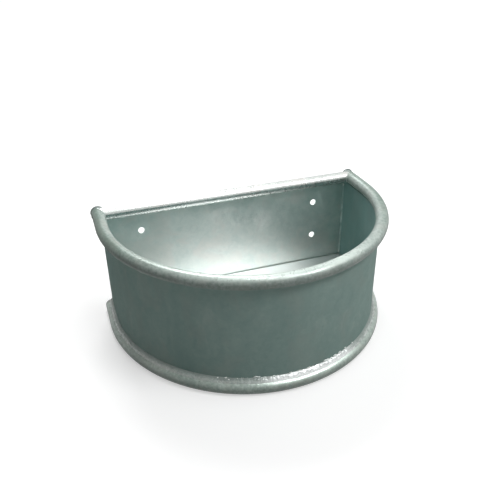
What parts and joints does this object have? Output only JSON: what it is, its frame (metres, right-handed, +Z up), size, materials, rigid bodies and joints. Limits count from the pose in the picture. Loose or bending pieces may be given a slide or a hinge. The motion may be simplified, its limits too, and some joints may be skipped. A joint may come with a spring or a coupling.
{
  "type": "livestock feeder",
  "caption": "D-shaped feeding trough of galvanised sheet, with round tube along its rim, back edge and foot and bolt holes in its flat back for hanging on a wall.",
  "frame": {"origin": "on the ground, under the middle of the trough's overall box", "axes": "+Z up, +Y toward the wall that the back plate is bolted to, +X along the back plate to the right as seen from the front"},
  "size_m": [0.5166, 0.334, 0.2197],
  "materials": {
    "galvanised_sheet": "hot-dip galvanised, satin, faint spangle",
    "galvanised_tube": "hot-dip galvanised, smooth",
    "weld_bead": "hot-dip galvanised over a rippled weld, bright and rough"
  },
  "bodies": {
    "root": {"wall_sheet": "galvanised_sheet", "back_plate": "galvanised_sheet", "floor_plate": "galvanised_sheet", "rim_tube": "galvanised_tube", "back_rail_tube": "galvanised_tube", "foot_tube": "galvanised_tube", "rim_end_cap_left": "galvanised_tube", "rim_end_cap_right": "galvanised_tube", "foot_end_cap_left": "galvanised_tube", "foot_end_cap_right": "galvanised_tube", "corner_weld_left": "weld_bead", "corner_weld_right": "weld_bead", "rim_weld": "weld_bead", "foot_weld": "weld_bead", "floor_wall_weld": "weld_bead", "floor_plate_weld": "weld_bead", "rail_weld": "weld_bead", "rail_joint_weld_left": "weld_bead", "rail_joint_weld_right": "weld_bead"}
  },
  "joints": []
}
